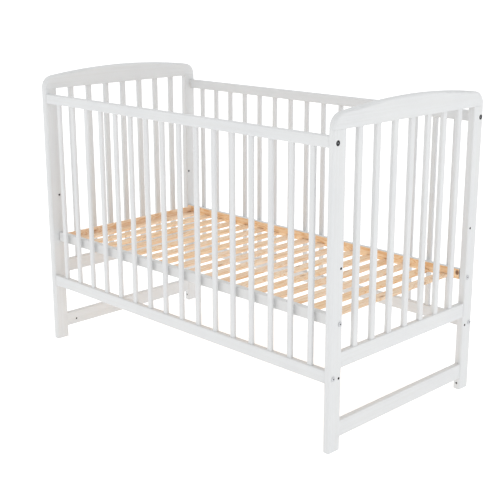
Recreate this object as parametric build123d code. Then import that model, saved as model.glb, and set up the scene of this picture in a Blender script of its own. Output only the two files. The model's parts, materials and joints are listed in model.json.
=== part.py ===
"""A wooden cot for a 120 x 60 cm mattress, in millimetres.

X runs along the length, Y from the front side to the rear side and Z up. The origin is on
the floor, midway between the four feet. Two ends, each with two posts, an arched top board,
seven spindles, a lower rail and a stretcher, are joined by two spindled sides. The mattress
base is two long boards with slats between them and a strip across the left end, bolted to the
posts at one of three heights.
"""
from build123d import *
import os
from math import sqrt

# Posts: one in each corner, with their narrow faces to the front and rear
LENGTH = 1248.0          # over the outer faces of the posts
WIDTH = 648.0
POST_T = 22.0            # along X
POST_W = 45.0            # along Y
POST_TOP = 856.0         # where the arched board sits on the post
POST_ROUND = 7.0         # upright edges on the outer side
POST_ROUND_IN = 3.5      # upright edges on the side of the end rails
FOOT_ROUND = 3.0
JOINT_BEVEL = 0.6        # the fine groove between post and arch

# Ends
ARCH_TOP = 917.0
ARCH_R = 2232.0
ARCH_CORNER_R = 40.0
END_RAIL_T = 18.0
END_RAIL_Z = (231.0, 275.0)
STRETCHER_Z = (37.0, 83.0)
RAIL_ROUND = 3.0
END_SPINDLES = 7
END_SPINDLE_PITCH = 72.2
END_SPINDLE_T = 12.0     # along X
END_SPINDLE_W = 19.0     # along Y

# Sides
SIDE_RAIL_T = 18.0
SIDE_INSET = 4.0         # the side's face lies this far inside the post's face
TOP_RAIL_Z = (810.0, 840.0)
BOTTOM_RAIL_Z = (193.0, 229.0)
SIDE_SPINDLES = 16
SIDE_SPINDLE_PITCH = 72.6
SIDE_SPINDLE_W = 17.0    # along X
SIDE_SPINDLE_T = 10.0    # along Y
SPINDLE_ROUND = 3.0
MORTISE = 10.0           # depth of every spindle's mortise
MORTISE_GAP = 0.1        # play round a spindle in its mortise

# Mattress base, drawn at the middle one of its three heights
BASE_ROWS = (206.0, 354.5, 503.0)
BASE_ROW = 1
BASE_HOLE_Y = WIDTH / 2 - 35.0
BOARD_T = 18.0
BOARD_H = 30.0
BOARD_DROP = 9.5         # from the bolts' axis down to the board's lower edge
BOARD_END_GAP = 2.0
BOARD_ROUND = 2.0
SLATS = 17
SLAT_PITCH = 69.4
SLAT_SHIFT = -7.5        # the whole row of slats stands this far along X
SLAT_W = 32.0
SLAT_T = 8.0
SLAT_ROUND = 1.2
NOTCH_D = 10.0           # depth of a slat's notch across the board
NOTCH_GAP = 0.2
NOTCH_ROOM = 1.2         # left open above the slat
STRIP_X = (-590.0, -582.0)
STRIP_H = 27.0

# Fasteners: M6 flat-head bolts with a 4 mm hexagon socket
BOLT_R = 2.95            # shank, with its thread left off
THREAD_R = 3.0
HEAD_R = 7.0
HEAD_H = 2.0
HEX_R = 2.31             # corner radius of the socket
HEX_D = 1.6
POST_HOLE_R = 3.5
RAIL_BORE_R = 3.25
SIDE_BOLT_L = 60.0
SIDE_BOLT_Y = WIDTH / 2 - SIDE_INSET - SIDE_RAIL_T / 2
TOP_BOLT_Z = 824.0
BOTTOM_BOLT_Z = 210.0
SUNK_R = 7.4             # the top bolts' heads are sunk flush
BASE_BOLT_L = 40.0
INSERT_R = 5.0
INSERT_L = 15.0
NUT_R = 5.0
NUT_H = 14.0
NUT_IN = 32.0            # from the rail's end to the nut's axis
FIT_GAP = 0.05           # radial play of nuts, inserts, dowels and nails
DOWEL_R = 4.0
DOWEL_IN = 20.0
ARCH_DOWEL_IN = 15.0
NAIL_R = 1.0
NAIL_L = 20.0
NAIL_HEAD_R = 2.2
NAIL_HEAD_H = 1.0
NAIL_IN = 4.5            # from the slat's end to the nail

# Plain blind holes near the floor, in the posts' inner faces and the stretchers'
PIN_HOLE_R = 3.0
FOOT_HOLE_D = 15.0
FOOT_HOLE_Z = 20.0
STRETCHER_HOLE_Y = 242.5
STRETCHER_HOLE_Z = 55.0
STRETCHER_HOLE_D = 10.0

INNER_X = LENGTH / 2 - POST_T
INNER_Y = WIDTH / 2 - POST_W
END_X = LENGTH / 2 - POST_T / 2
BASE_Z = BASE_ROWS[BASE_ROW]
BOARD_Z = (BASE_Z - BOARD_DROP, BASE_Z - BOARD_DROP + BOARD_H)
SLAT_TOP = BOARD_Z[0] + SLAT_T
BOARD_Y = (BASE_HOLE_Y - BOARD_T / 2, BASE_HOLE_Y + BOARD_T / 2)
SLAT_END_Y = BOARD_Y[0] + NOTCH_D - 0.5
ENDS = (("left", -1), ("right", 1))
SIDES = (("front", -1), ("rear", 1))


def block(x, y, z):
    """A box given by the lower and upper limit on each axis, in either order."""
    size = [abs(b - a) for a, b in (x, y, z)]
    return Pos(*[(a + b) / 2 for a, b in (x, y, z)]) * Box(*size)


def rod_x(x0, x1, y, z, r):
    return Pos((x0 + x1) / 2, y, z) * Rot(0, 90, 0) * Cylinder(r, abs(x1 - x0))


def rod_y(x, y0, y1, z, r):
    return Pos(x, (y0 + y1) / 2, z) * Rot(90, 0, 0) * Cylinder(r, abs(y1 - y0))


def rod_z(x, y, z0, z1, r):
    return Pos(x, y, (z0 + z1) / 2) * Cylinder(r, abs(z1 - z0))


def spaced(count, pitch):
    """Centres of a row of equal steps about zero."""
    return [(i - (count - 1) / 2) * pitch for i in range(count)]


def stick(x, y, z, wx, wy, grow=0.0):
    """An upright spindle of rounded section, or its mortise when grown."""
    body = block((x - wx / 2 - grow, x + wx / 2 + grow), (y - wy / 2 - grow, y + wy / 2 + grow), z)
    return fillet(body.edges().filter_by(Axis.Z), SPINDLE_ROUND + grow)


def end_mortises(x, z):
    return [stick(x, y, z, END_SPINDLE_T, END_SPINDLE_W, MORTISE_GAP)
            for y in spaced(END_SPINDLES, END_SPINDLE_PITCH)]


def side_mortises(y, z):
    return [stick(x, y, z, SIDE_SPINDLE_W, SIDE_SPINDLE_T, MORTISE_GAP)
            for x in spaced(SIDE_SPINDLES, SIDE_SPINDLE_PITCH)]


def arch_dowel_y():
    return (WIDTH / 2 - 13.0, WIDTH / 2 - 34.0)


def rail_dowel_z(z):
    return (z[0] + 12.0, z[1] - 12.0)


def post(ex, sy):
    """A corner post: ex is the end's sign along X, sy the side's sign along Y."""
    body = block((ex * INNER_X, ex * LENGTH / 2), (sy * INNER_Y, sy * WIDTH / 2), (0, POST_TOP))
    outer = body.edges().filter_by(Axis.Z).group_by(Axis.Y)[0 if sy < 0 else -1]
    body = fillet(outer, POST_ROUND)
    inner = body.edges().filter_by(Axis.Z).group_by(Axis.Y)[-1 if sy < 0 else 0]
    body = fillet(inner, POST_ROUND_IN)
    body = fillet(body.faces().sort_by(Axis.Z)[0].edges(), FOOT_ROUND)
    body = chamfer(body.faces().sort_by(Axis.Z)[-1].edges(), JOINT_BEVEL)
    cuts = [rod_x(ex * (INNER_X - 1), ex * (LENGTH / 2 + 1), sy * BASE_HOLE_Y, z, POST_HOLE_R)
            for z in BASE_ROWS]
    cuts += [rod_x(ex * (INNER_X - 1), ex * (LENGTH / 2 + 1), sy * SIDE_BOLT_Y, z, POST_HOLE_R)
             for z in (TOP_BOLT_Z, BOTTOM_BOLT_Z)]
    cuts.append(rod_x(ex * (LENGTH / 2 - HEAD_H), ex * (LENGTH / 2 + 1), sy * SIDE_BOLT_Y,
                      TOP_BOLT_Z, SUNK_R))
    cuts += [rod_z(ex * END_X, sy * y, POST_TOP - ARCH_DOWEL_IN, POST_TOP + 1, DOWEL_R + FIT_GAP)
             for y in arch_dowel_y()]
    cuts += [rod_y(ex * END_X, sy * (INNER_Y - 1), sy * (INNER_Y + DOWEL_IN), z, DOWEL_R + FIT_GAP)
             for rail in (END_RAIL_Z, STRETCHER_Z) for z in rail_dowel_z(rail)]
    cuts.append(rod_y(ex * END_X, sy * (INNER_Y - 1), sy * (INNER_Y + FOOT_HOLE_D), FOOT_HOLE_Z,
                      PIN_HOLE_R))
    return body - cuts


def arch(ex):
    """The arched top board: a flat lower edge, a long curve and a round at each corner."""
    half = WIDTH / 2
    centre = ARCH_TOP - ARCH_R
    cy = half - ARCH_CORNER_R
    cz = centre + sqrt((ARCH_R - ARCH_CORNER_R) ** 2 - cy ** 2)
    scale = ARCH_R / (ARCH_R - ARCH_CORNER_R)
    ty, tz = cy * scale, centre + (cz - centre) * scale
    k = ARCH_CORNER_R / sqrt(2)
    outline = [
        Line((-half, POST_TOP), (half, POST_TOP)),
        Line((half, POST_TOP), (half, cz)),
        ThreePointArc((half, cz), (cy + k, cz + k), (ty, tz)),
        ThreePointArc((ty, tz), (0, ARCH_TOP), (-ty, tz)),
        ThreePointArc((-ty, tz), (-cy - k, cz + k), (-half, cz)),
        Line((-half, cz), (-half, POST_TOP)),
    ]
    face = Plane.YZ * make_face(outline)
    body = Pos(ex * END_X, 0, 0) * extrude(face, POST_T / 2, both=True)
    rim = [e for e in body.edges() if abs(e.center().X - ex * END_X) > 1
           and e.center().Z > POST_TOP + 0.5]
    body = fillet(rim, POST_ROUND)
    body = chamfer(body.faces().sort_by(Axis.Z)[0].edges(), JOINT_BEVEL)
    cuts = end_mortises(ex * END_X, (POST_TOP - 1, POST_TOP + MORTISE))
    cuts += [rod_z(ex * END_X, s * y, POST_TOP - 1, POST_TOP + ARCH_DOWEL_IN, DOWEL_R + FIT_GAP)
             for s in (-1, 1) for y in arch_dowel_y()]
    return body - cuts


def end_rail(ex, z):
    """A plain rail between the two posts of an end."""
    body = block((ex * END_X - END_RAIL_T / 2, ex * END_X + END_RAIL_T / 2), (-INNER_Y, INNER_Y), z)
    body = fillet(body.edges().filter_by(Axis.Y), RAIL_ROUND)
    cuts = [rod_y(ex * END_X, s * (INNER_Y - DOWEL_IN), s * (INNER_Y + 1), dz, DOWEL_R + FIT_GAP)
            for s in (-1, 1) for dz in rail_dowel_z(z)]
    return body - cuts


def lower_rail(ex):
    """The end's lower rail, which holds the feet of its spindles."""
    mortises = end_mortises(ex * END_X, (END_RAIL_Z[1] - MORTISE, END_RAIL_Z[1] + 1))
    return end_rail(ex, END_RAIL_Z) - mortises


def stretcher(ex):
    """The stretcher near the floor, with a blind hole in its inner face near each post."""
    face = ex * (END_X - END_RAIL_T / 2)
    holes = [rod_x(face - ex, face + ex * STRETCHER_HOLE_D, sy * STRETCHER_HOLE_Y, STRETCHER_HOLE_Z,
                   PIN_HOLE_R) for sy in (-1, 1)]
    return end_rail(ex, STRETCHER_Z) - holes


def side_rail(sy, z, bolt_z, mortise_z):
    """A long rail of a side, bored at each end for a bolt and, from below, for its nut."""
    y = sy * SIDE_BOLT_Y
    body = block((-INNER_X, INNER_X), (y - SIDE_RAIL_T / 2, y + SIDE_RAIL_T / 2), z)
    body = fillet(body.edges().filter_by(Axis.X), RAIL_ROUND)
    cuts = side_mortises(y, mortise_z)
    for ex in (-1, 1):
        nut_x = ex * (INNER_X - NUT_IN)
        cuts.append(rod_x(nut_x - ex * 12, ex * (INNER_X + 1), y, bolt_z, RAIL_BORE_R))
        cuts.append(rod_z(nut_x, y, z[0] - 1, bolt_z + NUT_H / 2, NUT_R + FIT_GAP))
    return body - cuts


def slat_centres():
    return [x + SLAT_SHIFT for x in spaced(SLATS, SLAT_PITCH)]


def base_board(sy):
    """A long board of the mattress base, notched below for the slats."""
    body = block((-INNER_X + BOARD_END_GAP, INNER_X - BOARD_END_GAP),
                 (sy * BOARD_Y[0], sy * BOARD_Y[1]), BOARD_Z)
    body = fillet(body.edges().filter_by(Axis.X), BOARD_ROUND)
    cuts = []
    for x in slat_centres():
        half = SLAT_W / 2 + NOTCH_GAP
        cuts.append(block((x - half, x + half), (sy * (BOARD_Y[0] - 1), sy * (BOARD_Y[0] + NOTCH_D)),
                          (BOARD_Z[0] - 1, SLAT_TOP + NOTCH_ROOM)))
        cuts.append(rod_z(x, sy * (SLAT_END_Y - NAIL_IN), SLAT_TOP - 1, BOARD_Z[0] + NAIL_L + 1,
                          NAIL_R + FIT_GAP))
    for ex in (-1, 1):
        end = ex * (INNER_X - BOARD_END_GAP)
        cuts.append(rod_x(end - ex * INSERT_L, end + ex, sy * BASE_HOLE_Y, BASE_Z, INSERT_R + FIT_GAP))
        cuts.append(rod_x(ex * (LENGTH / 2 - BASE_BOLT_L - 3), end, sy * BASE_HOLE_Y, BASE_Z,
                          RAIL_BORE_R))
    return body - cuts


def base_end_strip():
    """The strip glued between the long boards at the left end."""
    body = block(STRIP_X, (-BOARD_Y[0], BOARD_Y[0]), (BOARD_Z[0], BOARD_Z[0] + STRIP_H))
    return fillet(body.edges().filter_by(Axis.Y), SLAT_ROUND)


def slat(x):
    """A cross slat, nailed from below at each end."""
    body = block((x - SLAT_W / 2, x + SLAT_W / 2), (-SLAT_END_Y, SLAT_END_Y), (BOARD_Z[0], SLAT_TOP))
    body = fillet(body.edges().filter_by(Axis.Y), SLAT_ROUND)
    for sy in (-1, 1):
        y = sy * (SLAT_END_Y - NAIL_IN)
        body -= rod_z(x, y, BOARD_Z[0] - 1, SLAT_TOP + 1, NAIL_R + FIT_GAP)
        body -= rod_z(x, y, BOARD_Z[0] - 1, BOARD_Z[0] + NAIL_HEAD_H, NAIL_HEAD_R + FIT_GAP)
    return body


def nail(x, sy):
    y = sy * (SLAT_END_Y - NAIL_IN)
    shank = rod_z(x, y, BOARD_Z[0], BOARD_Z[0] + NAIL_L, NAIL_R)
    return shank + rod_z(x, y, BOARD_Z[0], BOARD_Z[0] + NAIL_HEAD_H, NAIL_HEAD_R)


def bolt(ex, face_x, y, z, length):
    """A flat-head bolt along X, its head's underside on the plane face_x."""
    head = Cylinder(HEAD_R, HEAD_H, align=(Align.CENTER, Align.CENTER, Align.MIN))
    head = chamfer(head.edges().sort_by(Axis.Z)[-1], 0.6)
    socket = Pos(0, 0, HEAD_H - HEX_D) * extrude(RegularPolygon(HEX_R, 6), HEX_D + 1)
    shank = Cylinder(BOLT_R, length, align=(Align.CENTER, Align.CENTER, Align.MAX))
    shank = chamfer(shank.edges().sort_by(Axis.Z)[0], 0.6)
    return Pos(face_x, y, z) * Rot(0, 90 * ex, 0) * (head - socket + shank)


def barrel_nut(ex, sy, z):
    x, y = ex * (INNER_X - NUT_IN), sy * SIDE_BOLT_Y
    body = rod_z(x, y, z - NUT_H / 2, z + NUT_H / 2, NUT_R)
    return body - rod_x(x - 8, x + 8, y, z, THREAD_R)


def insert(ex, sy):
    """A threaded sleeve in the end of a base board."""
    end = ex * (INNER_X - BOARD_END_GAP)
    body = rod_x(end - ex * INSERT_L, end, sy * BASE_HOLE_Y, BASE_Z, INSERT_R)
    return body - rod_x(end - ex * (INSERT_L + 1), end + ex, sy * BASE_HOLE_Y, BASE_Z, THREAD_R)


def dowels():
    pins = []
    for ex in (-1, 1):
        for sy in (-1, 1):
            pins += [rod_z(ex * END_X, sy * y, POST_TOP - ARCH_DOWEL_IN + 1,
                           POST_TOP + ARCH_DOWEL_IN - 1, DOWEL_R) for y in arch_dowel_y()]
            pins += [rod_y(ex * END_X, sy * (INNER_Y - DOWEL_IN + 1), sy * (INNER_Y + DOWEL_IN - 1), z,
                           DOWEL_R) for rail in (END_RAIL_Z, STRETCHER_Z) for z in rail_dowel_z(rail)]
    return pins


def save(name, shape):
    """Write one node; a list of separate solids is kept as one compound."""
    if isinstance(shape, list):
        shape = Compound([solid for piece in shape for solid in piece.solids()])
    shape.label = name
    export_step(shape, f"parts/{name}.step")


os.makedirs("parts", exist_ok=True)
for end, ex in ENDS:
    for side, sy in SIDES:
        save(f"post_{end}_{side}", post(ex, sy))
    save(f"arch_{end}", arch(ex))
    save(f"end_rail_{end}", lower_rail(ex))
    save(f"stretcher_{end}", stretcher(ex))
    for i, y in enumerate(spaced(END_SPINDLES, END_SPINDLE_PITCH), 1):
        save(f"spindle_{end}_{i}", stick(ex * END_X, y, (END_RAIL_Z[1] - MORTISE, POST_TOP + MORTISE),
                                         END_SPINDLE_T, END_SPINDLE_W))
    save(f"base_bolts_{end}", [bolt(ex, ex * LENGTH / 2, sy * BASE_HOLE_Y, BASE_Z, BASE_BOLT_L)
                               for sy in (-1, 1)])

for side, sy in SIDES:
    y = sy * SIDE_BOLT_Y
    save(f"side_rail_top_{side}", side_rail(sy, TOP_RAIL_Z, TOP_BOLT_Z,
                                            (TOP_RAIL_Z[0] - 1, TOP_RAIL_Z[0] + MORTISE)))
    save(f"side_rail_bottom_{side}", side_rail(sy, BOTTOM_RAIL_Z, BOTTOM_BOLT_Z,
                                               (BOTTOM_RAIL_Z[1] - MORTISE, BOTTOM_RAIL_Z[1] + 1)))
    save(f"side_spindles_{side}",
         [stick(x, y, (BOTTOM_RAIL_Z[1] - MORTISE, TOP_RAIL_Z[0] + MORTISE), SIDE_SPINDLE_W,
                SIDE_SPINDLE_T) for x in spaced(SIDE_SPINDLES, SIDE_SPINDLE_PITCH)])
    save(f"base_board_{side}", base_board(sy))

save("base_end_strip", base_end_strip())
for i, x in enumerate(slat_centres(), 1):
    save(f"slat_{i:02d}", slat(x))

CORNERS = [(ex, sy) for ex in (-1, 1) for sy in (-1, 1)]
save("side_bolts_top", [bolt(ex, ex * (LENGTH / 2 - HEAD_H), sy * SIDE_BOLT_Y, TOP_BOLT_Z, SIDE_BOLT_L)
                        for ex, sy in CORNERS])
save("side_bolts_bottom", [bolt(ex, ex * LENGTH / 2, sy * SIDE_BOLT_Y, BOTTOM_BOLT_Z, SIDE_BOLT_L)
                           for ex, sy in CORNERS])
save("barrel_nuts", [barrel_nut(ex, sy, z) for ex, sy in CORNERS for z in (TOP_BOLT_Z, BOTTOM_BOLT_Z)])
save("base_inserts", [insert(ex, sy) for ex, sy in CORNERS])
save("slat_nails", [nail(x, sy) for x in slat_centres() for sy in (-1, 1)])
save("dowels", dowels())
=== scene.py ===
import json
from math import cos, pi, radians, sin

import bmesh
import bpy
from mathutils import Matrix, Vector


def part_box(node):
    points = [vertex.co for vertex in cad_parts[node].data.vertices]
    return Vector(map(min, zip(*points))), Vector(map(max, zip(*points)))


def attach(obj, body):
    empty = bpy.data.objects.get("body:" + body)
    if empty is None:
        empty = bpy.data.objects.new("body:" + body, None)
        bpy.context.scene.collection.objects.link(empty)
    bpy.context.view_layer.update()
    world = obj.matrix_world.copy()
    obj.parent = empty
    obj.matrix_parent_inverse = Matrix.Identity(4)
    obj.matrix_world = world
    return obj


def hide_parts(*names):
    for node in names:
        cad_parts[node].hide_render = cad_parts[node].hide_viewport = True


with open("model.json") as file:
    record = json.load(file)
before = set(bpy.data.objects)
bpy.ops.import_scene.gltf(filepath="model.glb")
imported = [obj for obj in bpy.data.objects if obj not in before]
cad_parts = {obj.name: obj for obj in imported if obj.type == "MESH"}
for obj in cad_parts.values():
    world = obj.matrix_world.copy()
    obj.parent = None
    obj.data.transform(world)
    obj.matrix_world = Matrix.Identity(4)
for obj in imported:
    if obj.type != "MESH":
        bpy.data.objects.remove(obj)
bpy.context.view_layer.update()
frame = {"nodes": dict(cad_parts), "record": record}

# Studio. The cot stands on a plain pale floor in a white tent, which is about as bright
# overhead as at its walls, with one weak panel in front of the cot and one beside its
# right end.
AIM_AZIMUTH, AIM_ELEVATION, AIM_ROLL = 0.79167, 0.26640, -0.00255
camera = bpy.data.objects.new("camera", bpy.data.cameras.new("camera"))
bpy.context.scene.collection.objects.link(camera)
camera.data.sensor_width = 36.0
camera.data.lens = 75.06
camera.data.clip_end = 300.0
towards_camera = Vector((sin(AIM_AZIMUTH) * cos(AIM_ELEVATION),
                         -cos(AIM_AZIMUTH) * cos(AIM_ELEVATION), sin(AIM_ELEVATION)))
camera.rotation_euler = ((-towards_camera).to_track_quat("-Z", "Y").to_matrix()
                         @ Matrix.Rotation(AIM_ROLL, 3, "Z")).to_euler()
camera.location = (2.20774, -2.19278, 1.23785)
bpy.context.scene.camera = camera
bpy.context.scene.view_settings.view_transform = "Standard"


class Finish:
    """A material under construction: nodes are added by kind and joined by socket."""

    def __init__(self, name, roughness, metallic=0.0, specular=0.5):
        self.material = bpy.data.materials.new(name)
        self.material.use_nodes = True
        self.nodes = self.material.node_tree.nodes
        self.links = self.material.node_tree.links
        self.shader = self.nodes["Principled BSDF"]
        self.shader.inputs["Roughness"].default_value = roughness
        self.shader.inputs["Metallic"].default_value = metallic
        self.shader.inputs["Specular IOR Level"].default_value = specular
        self.place = self.nodes.new("ShaderNodeTexCoord").outputs["Object"]

    def feed(self, socket, value):
        if isinstance(value, bpy.types.NodeSocket):
            self.links.new(value, socket)
        else:
            socket.default_value = value

    def stretched(self, scale, source=None):
        """The object's own coordinates, or others given, scaled along each axis."""
        node = self.nodes.new("ShaderNodeMapping")
        node.inputs["Scale"].default_value = scale
        self.links.new(source or self.place, node.inputs["Vector"])
        return node.outputs["Vector"]

    def noise(self, place, detail=3.0, roughness=0.5, distortion=0.0, scale=1.0):
        node = self.nodes.new("ShaderNodeTexNoise")
        self.links.new(place, node.inputs["Vector"])
        node.inputs["Scale"].default_value = scale
        node.inputs["Detail"].default_value = detail
        node.inputs["Roughness"].default_value = roughness
        node.inputs["Distortion"].default_value = distortion
        return node.outputs["Fac"]

    def sums(self, operation, a, b=0.0, c=0.0):
        node = self.nodes.new("ShaderNodeMath")
        node.operation = operation
        for socket, value in zip(node.inputs, (a, b, c)):
            self.feed(socket, value)
        return node.outputs[0]

    def ramp(self, value, *stops):
        """A run of colours or greys: each stop is a place and a colour."""
        node = self.nodes.new("ShaderNodeValToRGB")
        self.links.new(value, node.inputs["Fac"])
        points = node.color_ramp.elements
        while len(points) < len(stops):
            points.new(0.5)
        for point, (at, colour) in zip(points, stops):
            point.position = at
            point.color = (*colour, 1.0) if isinstance(colour, tuple) else (colour,) * 3 + (1.0,)
        return node.outputs["Color"]

    def mix(self, how, share, a, b):
        node = self.nodes.new("ShaderNodeMix")
        node.data_type = "RGBA"
        node.blend_type = how
        self.feed(node.inputs["Factor"], share)
        for socket, value in zip((node.inputs[6], node.inputs[7]), (a, b)):
            self.feed(socket, (*value, 1.0) if isinstance(value, tuple) else value)
        return node.outputs[2]

    def bump(self, *layers):
        """Stacked bumps: each layer is a height socket and its depth in metres."""
        normal = None
        for height, depth in layers:
            node = self.nodes.new("ShaderNodeBump")
            node.inputs["Distance"].default_value = depth
            self.links.new(height, node.inputs["Height"])
            if normal:
                self.links.new(normal, node.inputs["Normal"])
            normal = node.outputs["Normal"]
        self.links.new(normal, self.shader.inputs["Normal"])

    def done(self, colour, roughness=None):
        self.feed(self.shader.inputs["Base Color"], colour)
        if roughness is not None:
            self.feed(self.shader.inputs["Roughness"], roughness)
        return self.material


def studio_floor():
    mesh = bmesh.new()
    bmesh.ops.create_circle(mesh, cap_ends=True, segments=64, radius=120.0)
    data = bpy.data.meshes.new("floor")
    mesh.to_mesh(data)
    mesh.free()
    floor = bpy.data.objects.new("floor", data)
    bpy.context.scene.collection.objects.link(floor)
    finish = Finish("studio_floor", roughness=0.7, specular=0.2)
    finish.shader.inputs["Emission Color"].default_value = (1.0, 1.0, 1.0, 1.0)
    finish.shader.inputs["Emission Strength"].default_value = 0.42
    cloud = finish.noise(finish.stretched((0.4, 0.4, 0.4)), detail=1.0)
    data.materials.append(finish.done(finish.ramp(cloud, (0.0, 0.88), (1.0, 0.9))))


def studio_tent(overhead, wall):
    """Light from all round, given by its strength straight above and at the horizon."""
    world = bpy.data.worlds.new("tent")
    world.use_nodes = True
    bpy.context.scene.world = world
    nodes, links = world.node_tree.nodes, world.node_tree.links
    direction = nodes.new("ShaderNodeTexCoord").outputs["Generated"]
    parts = nodes.new("ShaderNodeSeparateXYZ")
    height = nodes.new("ShaderNodeMapRange")
    height.interpolation_type = "SMOOTHSTEP"
    height.inputs["From Min"].default_value = 0.0
    height.inputs["From Max"].default_value = 0.9
    height.inputs["To Min"].default_value = wall
    height.inputs["To Max"].default_value = overhead
    links.new(direction, parts.inputs["Vector"])
    links.new(parts.outputs["Z"], height.inputs["Value"])
    links.new(height.outputs["Result"], nodes["Background"].inputs["Strength"])
    nodes["Background"].inputs["Color"].default_value = (1.0, 1.0, 1.0, 1.0)


def light_panel(name, place, aim, size, watts):
    lamp = bpy.data.lights.new(name, "AREA")
    lamp.shape = "RECTANGLE"
    lamp.size, lamp.size_y = size
    lamp.energy = watts
    panel = bpy.data.objects.new(name, lamp)
    bpy.context.scene.collection.objects.link(panel)
    panel.location = place
    panel.rotation_euler = (Vector(aim) - Vector(place)).to_track_quat("-Z", "Y").to_euler()
    panel.visible_camera = False


studio_floor()
studio_tent(overhead=0.95, wall=0.94)
light_panel("front_panel", (0.7, -2.6, 0.9), (0.0, 0.0, 0.5), (2.2, 1.6), 0.5)
light_panel("right_panel", (2.9, -0.2, 0.9), (0.4, 0.0, 0.5), (1.8, 1.6), 2.0)


# Ends. Each end is planed pine: two posts, an arched board sawn from wide stock, seven
# spindles, a lower rail and a stretcher, glued together on dowels and sprayed in satin
# white. The grain shows faintly through the paint as fine ridges along each stick.
def painted_pine(name, along, bores=()):
    """Satin white paint on pine whose grain runs along the given axis. The bores, each given by its
    axis, place, height, radius and inner end, are coloured near black: painted shade inside the
    holes."""
    finish = Finish(name, roughness=0.42, specular=0.4)

    def run(across, lengthwise):
        return finish.stretched(tuple(lengthwise if axis == along else across for axis in "XYZ"))

    rings = finish.noise(run(190.0, 2.2), detail=2.0, roughness=0.6, distortion=0.4)
    fibres = finish.noise(run(1500.0, 26.0), detail=2.0, roughness=0.6)
    spray = finish.noise(finish.stretched((850.0,) * 3), detail=1.0)
    patches = finish.noise(finish.stretched((7.0,) * 3), detail=3.0)
    ridge = finish.ramp(rings, (0.38, 0.0), (0.52, 1.0), (0.66, 0.35))
    body = finish.ramp(patches, (0.3, (0.680, 0.692, 0.703)), (0.7, (0.710, 0.721, 0.726)))
    grain_tint_and_bore_shade = finish.mix("MULTIPLY", 1.0, body,
                        finish.ramp(rings, (0.40, (0.982, 0.979, 0.972)), (0.56, (1.0, 1.0, 1.0))))
    split = finish.nodes.new("ShaderNodeSeparateXYZ")
    finish.links.new(finish.place, split.inputs["Vector"])
    from_middle = {axis: finish.sums("ABSOLUTE", split.outputs[axis]) for axis in "XY"}
    for axis, place, height, radius, inner_end in bores:
        sideways = finish.sums("SUBTRACT", from_middle["Y" if axis == "X" else "X"], place)
        upward = finish.sums("SUBTRACT", split.outputs["Z"], height)
        square = finish.sums("MULTIPLY_ADD", upward, upward,
                             finish.sums("MULTIPLY", sideways, sideways))
        bore_shade = finish.sums("MULTIPLY", finish.sums("LESS_THAN", square, (radius + 0.0001) ** 2),
                             finish.sums("LESS_THAN", from_middle[axis], inner_end))
        # The bores are coloured near black: painted shade in the holes, not the colour of the wood.
        grain_tint_and_bore_shade = finish.mix("MIX", bore_shade, grain_tint_and_bore_shade, (0.03, 0.02, 0.014))
    gloss = finish.ramp(patches, (0.3, 0.38), (0.7, 0.5))
    finish.bump((ridge, 0.00016), (fibres, 0.00006), (spray, 0.00004))
    return finish.done(grain_tint_and_bore_shade, gloss)


def coat(material, *node_names):
    """Gives CAD nodes their finish."""
    for name in node_names:
        piece = frame["nodes"][name]
        piece.data.materials.clear()
        piece.data.materials.append(material)


ENDS = ("left", "right")
SIDES = ("front", "rear")
PIN_BORE = 0.003
THROUGH = 1.0                  # an inner end beyond the cot, for a bore that goes right through
pattern = next(mount for mount in frame["record"]["mounts"]
               if mount["name"] == "base_height_holes_right")
row_step, bore_place, bore_radius = (0.001 * value for value in (
    pattern["dims"]["spacing_y_mm"] / 2.0, pattern["dims"]["spacing_x_mm"] / 2.0,
    pattern["dims"]["hole_r_mm"]))
base_rows = [("X", bore_place, pattern["pos_m"][2] + step * row_step, bore_radius, THROUGH)
             for step in (-1, 0, 1)]
foot_bore = ("Y", pattern["pos_m"][0], 0.020, PIN_BORE, 0.2945)
stretcher_bore = ("X", 0.2425, 0.055, PIN_BORE, 0.6145)
upright_white = painted_pine("white_upright", "Z", (*base_rows, foot_bore))
crosswise_white = painted_pine("white_crosswise", "Y", (stretcher_bore,))
for end in ENDS:
    coat(upright_white, *(f"post_{end}_{side}" for side in SIDES))
    coat(upright_white, *(f"spindle_{end}_{i}" for i in range(1, 8)))
    coat(crosswise_white, f"arch_{end}", f"end_rail_{end}", f"stretcher_{end}")


# Sides. Two rails and sixteen flat spindles on each side, of the same pine and paint,
# with the grain along each piece.
lengthwise_white = painted_pine("white_lengthwise", "X")
for side in SIDES:
    coat(lengthwise_white, f"side_rail_top_{side}", f"side_rail_bottom_{side}")
    coat(upright_white, f"side_spindles_{side}")


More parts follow.
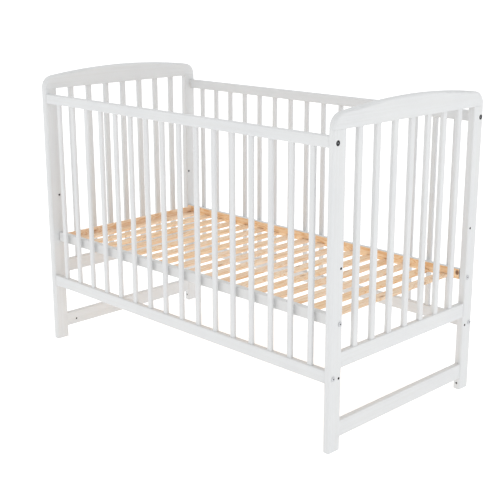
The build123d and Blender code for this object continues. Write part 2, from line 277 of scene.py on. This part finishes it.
# Mattress base. Planed knotty pine: two boards on edge, painted on their outer face and
# top, with seventeen bare slats let into notches under them and nailed from below, and a
# bare strip glued across the left end.
def bare_pine(name, along, across, start, pitch, tint):
    """Planed pine. Along is the grain's axis and across the board's width axis. Start is the
    middle of the first board and pitch the step to the next, by which each gets its own tone,
    rings and knots, all under one tint."""
    finish = Finish(name, roughness=0.55, specular=0.35)
    split = finish.nodes.new("ShaderNodeSeparateXYZ")
    finish.links.new(finish.place, split.inputs["Vector"])
    which = finish.sums("FLOOR", finish.sums("DIVIDE", finish.sums("ADD", split.outputs[across],
                                                                   0.5 * pitch - start), pitch))
    lot = finish.nodes.new("ShaderNodeTexWhiteNoise")
    lot.noise_dimensions = "1D"
    finish.links.new(which, lot.inputs["W"])
    shift = finish.nodes.new("ShaderNodeVectorMath")
    shift.operation = "MULTIPLY_ADD"
    finish.links.new(lot.outputs["Color"], shift.inputs[0])
    shift.inputs[1].default_value = (0.9, 0.9, 0.9)
    finish.links.new(finish.place, shift.inputs[2])
    own = shift.outputs[0]

    def run(across_scale, lengthwise):
        scale = tuple(lengthwise if axis == along else across_scale for axis in "XYZ")
        return finish.stretched(scale, own)

    # knots: cells stretched along the grain, dark in the middle, with the rings bent round them
    cells = finish.nodes.new("ShaderNodeTexVoronoi")
    finish.links.new(run(26.0, 9.0), cells.inputs["Vector"])
    cells.inputs["Scale"].default_value = 1.0
    near = cells.outputs["Distance"]
    knot = finish.ramp(near, (0.04, 0.85), (0.10, 0.40), (0.17, 0.0))
    swirl = finish.sums("MULTIPLY", finish.sums("POWER", finish.sums("MAXIMUM",
                        finish.sums("SUBTRACT", 0.62, near), 0.0), 2.0), 2.4)
    rings = finish.noise(run(120.0, 2.6), detail=2.0, roughness=0.55, distortion=0.7)
    bands = finish.sums("SINE", finish.sums("MULTIPLY", finish.sums("ADD", rings, swirl), 34.0))
    late = finish.ramp(finish.sums("MULTIPLY_ADD", bands, 0.5, 0.5), (0.45, 0.0), (0.95, 1.0))
    fibres = finish.noise(run(1300.0, 18.0), detail=2.0, roughness=0.6)
    tone = finish.ramp(lot.outputs["Value"], (0.0, (0.91, 0.695, 0.49)), (0.35, (0.94, 0.76, 0.58)),
                       (0.7, (0.90, 0.705, 0.535)), (1.0, (0.92, 0.675, 0.44)))
    tone = finish.mix("MULTIPLY", 1.0, tone, tint)
    colour = finish.mix("MULTIPLY", finish.sums("MULTIPLY", late, 0.95), tone, (0.88, 0.70, 0.50))
    colour = finish.mix("MULTIPLY", 0.5, colour,
                        finish.ramp(fibres, (0.3, (0.90, 0.86, 0.80)), (0.65, (1.0, 1.0, 1.0))))
    colour = finish.mix("MIX", knot, colour, (0.40, 0.19, 0.085))
    finish.bump((late, 0.00012), (fibres, 0.00008))
    rough = finish.ramp(fibres, (0.3, 0.62), (0.7, 0.5))
    return finish, colour, rough


SLATS = [f"slat_{i:02d}" for i in range(1, 18)]
first, second = (sum(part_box(name), Vector()).x / 2 for name in SLATS[:2])
slat_finish, slat_colour, slat_rough = bare_pine("pine_slats", "Y", "X", first, second - first,
                                                 (1.0, 1.0, 1.0))
coat(slat_finish.done(slat_colour, slat_rough), *SLATS, "base_end_strip")


def painted_outside(inner_y, knot_x, knot_z):
    """The long boards: bare pine on the inner face, white paint from there outwards. The
    rear one has a dark knot at the place given."""
    finish, pine, rough = bare_pine("pine_boards", "X", "Y", 0.0, 0.3, (1.0, 0.92, 0.80))
    split = finish.nodes.new("ShaderNodeSeparateXYZ")
    finish.links.new(finish.place, split.inputs["Vector"])
    depth = finish.sums("SUBTRACT", finish.sums("ABSOLUTE", split.outputs["Y"]), inner_y)
    wander = finish.noise(finish.stretched((60.0, 60.0, 60.0)), detail=3.0)
    edge = finish.sums("ADD", depth, finish.sums("MULTIPLY", wander, -0.0012))
    cover = finish.sums("GREATER_THAN", edge, 0.0009)
    half_length, half_height = 0.007, 0.009
    sideways = finish.sums("DIVIDE", finish.sums("SUBTRACT", split.outputs["X"], knot_x),
                           half_length)
    upward = finish.sums("DIVIDE", finish.sums("SUBTRACT", split.outputs["Z"], knot_z),
                         half_height)
    reach = finish.sums("MULTIPLY_ADD", upward, upward,
                        finish.sums("MULTIPLY", sideways, sideways))
    rear_only = finish.sums("GREATER_THAN", split.outputs["Y"], 0.0)
    knot = finish.sums("MULTIPLY", rear_only, finish.ramp(reach, (0.35, 0.9), (1.0, 0.0)))
    pine = finish.mix("MIX", knot, pine, (0.17, 0.065, 0.028))
    colour = finish.mix("MIX", cover, pine, (0.705, 0.707, 0.705))
    return finish.done(colour, rough)


low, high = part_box("base_board_rear")
coat(painted_outside(low.y, high.x - 0.006, (low.z + high.z) / 2.0 + 0.0045),
     "base_board_front", "base_board_rear")


# Bolts. M6 bolts of turned steel with a chamfered flat head, a hexagon socket and a rolled thread.
# Eight go through the posts into the sides, and four through them into the base. They are
# zinc-plated, but for the upper four of the sides, which are black, with the socket coloured bright
# zinc as a painted glint.
def plated_steel(name, colour, roughness):
    finish = Finish(name, roughness, metallic=1.0)
    wipe = finish.noise(finish.stretched((400.0,) * 3), detail=3.0)
    spots = finish.noise(finish.stretched((2500.0,) * 3), detail=2.0)
    shade = tuple(0.8 * c for c in colour)
    finish.bump((spots, 0.00002))
    return finish.done(finish.ramp(wipe, (0.35, shade), (0.65, colour)),
                       finish.ramp(wipe, (0.3, roughness - 0.08), (0.7, roughness + 0.1)))


HEAD_RADIUS, HEAD_HEIGHT, HEAD_CHAMFER = 0.0070, 0.0020, 0.0006
SOCKET_RADIUS, SOCKET_DEPTH = 0.00231, 0.0016
CREST, ROOT, THREAD_STEP, THREAD_LENGTH = 0.00295, 0.00245, 0.0010, 0.030
ROUND_STEPS, TURN_STEPS = 48, 24
SIDE_BOLT, BASE_BOLT = 0.060, 0.040


def turned_bolt(length):
    """A bolt standing upright, with its head's underside at height 0."""
    bolt = bmesh.new()
    tip = 0.0003
    outline = ((0.0, -length), (ROOT - tip, -length), (ROOT, tip - length),
               (ROOT, THREAD_LENGTH - length), (CREST, THREAD_LENGTH + 0.0005 - length),
               (CREST, 0.0), (HEAD_RADIUS, 0.0), (HEAD_RADIUS, HEAD_HEIGHT - HEAD_CHAMFER),
               (HEAD_RADIUS - HEAD_CHAMFER, HEAD_HEIGHT))
    points = [bolt.verts.new((across, 0.0, up)) for across, up in outline]
    edges = [bolt.edges.new(pair) for pair in zip(points, points[1:])]
    bmesh.ops.spin(bolt, geom=points + edges, cent=(0.0, 0.0, 0.0), axis=(0.0, 0.0, 1.0),
                   angle=2.0 * pi, steps=ROUND_STEPS, use_merge=True)
    bmesh.ops.remove_doubles(bolt, verts=bolt.verts, dist=1e-6)
    rim = [edge for edge in bolt.edges if edge.is_boundary]
    hexagon = bmesh.ops.create_circle(bolt, segments=6, radius=SOCKET_RADIUS,
                                      matrix=Matrix.Translation((0.0, 0.0, HEAD_HEIGHT)))["verts"]
    sides = list({edge for point in hexagon for edge in point.link_edges})
    bmesh.ops.subdivide_edges(bolt, edges=sides, cuts=ROUND_STEPS // 6 - 1)
    mouth = [edge for edge in bolt.edges if edge.is_wire]
    bmesh.ops.bridge_loops(bolt, edges=rim + mouth)
    before = set(bolt.faces)
    wall = bmesh.ops.extrude_edge_only(bolt, edges=mouth)["geom"]
    bmesh.ops.translate(bolt, verts=[part for part in wall if isinstance(part, bmesh.types.BMVert)],
                        vec=(0.0, 0.0, -SOCKET_DEPTH))
    bmesh.ops.holes_fill(bolt, edges=[edge for edge in bolt.edges if edge.is_boundary], sides=0)
    # The socket's faces take the second finish: bright zinc as a painted glint on the black bolts,
    # and a dark finish as painted shade on the zinc ones.
    for face in set(bolt.faces) - before:
        face.material_index = 1
    foot = ROOT - 0.00015
    ridge = [bolt.verts.new((across, 0.0, up - length))
             for across, up in ((foot, 0.0005), (CREST, 0.0010), (foot, 0.0015))]
    section = bolt.faces.new(ridge)
    turns = round((THREAD_LENGTH - 0.002) / THREAD_STEP)
    bmesh.ops.spin(bolt, geom=ridge + list(section.edges) + [section], cent=(0.0, 0.0, 0.0),
                   axis=(0.0, 0.0, 1.0), dvec=(0.0, 0.0, THREAD_STEP / TURN_STEPS),
                   angle=2.0 * pi * turns, steps=TURN_STEPS * turns)
    bmesh.ops.recalc_face_normals(bolt, faces=bolt.faces)
    return bolt


def bolts(name, node, body, slot, length, outwards, *finishes):
    """Detailed bolts in the place of a CAD node, two at each end that they stand out of."""
    low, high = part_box(node)
    whole = bmesh.new()
    scratch = bpy.data.meshes.new("scratch")
    for outward in outwards:
        underside = outward * (max(outward * low.x, outward * high.x) - HEAD_HEIGHT)
        for place in (low.y + HEAD_RADIUS, high.y - HEAD_RADIUS):
            bolt = turned_bolt(length)
            lay = (Matrix.Translation((underside, place, (low.z + high.z) / 2.0))
                   @ Matrix.Rotation(outward * pi / 2.0, 4, "Y"))
            bmesh.ops.transform(bolt, matrix=lay, verts=bolt.verts)
            bolt.to_mesh(scratch)
            bolt.free()
            whole.from_mesh(scratch)
    data = bpy.data.meshes.new(name)
    whole.to_mesh(data)
    whole.free()
    bpy.data.meshes.remove(scratch)
    for finish in finishes:
        data.materials.append(finish)
    data.shade_smooth()
    data.set_sharp_from_angle(angle=radians(30.0))
    piece = bpy.data.objects.new(name, data)
    bpy.context.scene.collection.objects.link(piece)
    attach(piece, body)
    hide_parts(node)


zinc = plated_steel("zinc_plate", (0.62, 0.63, 0.65), 0.34)
black = plated_steel("black_oxide", (0.035, 0.035, 0.038), 0.4)
socket_shade = plated_steel("socket_shade", (0.05, 0.05, 0.052), 0.6)
# The black bolts' sockets take the bright zinc finish: a painted glint.
bolts("upper_side_bolts", "side_bolts_top", "frame", "black_steel", SIDE_BOLT, (-1, 1), black, zinc)
bolts("lower_side_bolts", "side_bolts_bottom", "frame", "zinc_steel", SIDE_BOLT, (-1, 1),
      zinc, socket_shade)
bolts("left_base_bolts", "base_bolts_left", "bolts_left", "zinc_steel", BASE_BOLT, (-1,),
      zinc, socket_shade)
bolts("right_base_bolts", "base_bolts_right", "bolts_right", "zinc_steel", BASE_BOLT, (1,),
      zinc, socket_shade)


# Hidden fasteners. Zinc-plated barrel nuts in the side rails, inserts in the long boards and
# nails under the slats, and beech dowels glued between the sticks of each end.
coat(zinc, "barrel_nuts", "base_inserts", "slat_nails")
beech = Finish("beech_dowel", 0.6)
pores = beech.noise(beech.stretched((900.0, 900.0, 60.0)), detail=2.0)
beech.bump((pores, 0.00005))
coat(beech.done(beech.ramp(pores, (0.3, (0.60, 0.42, 0.27)), (0.7, (0.72, 0.54, 0.38)))), "dowels")
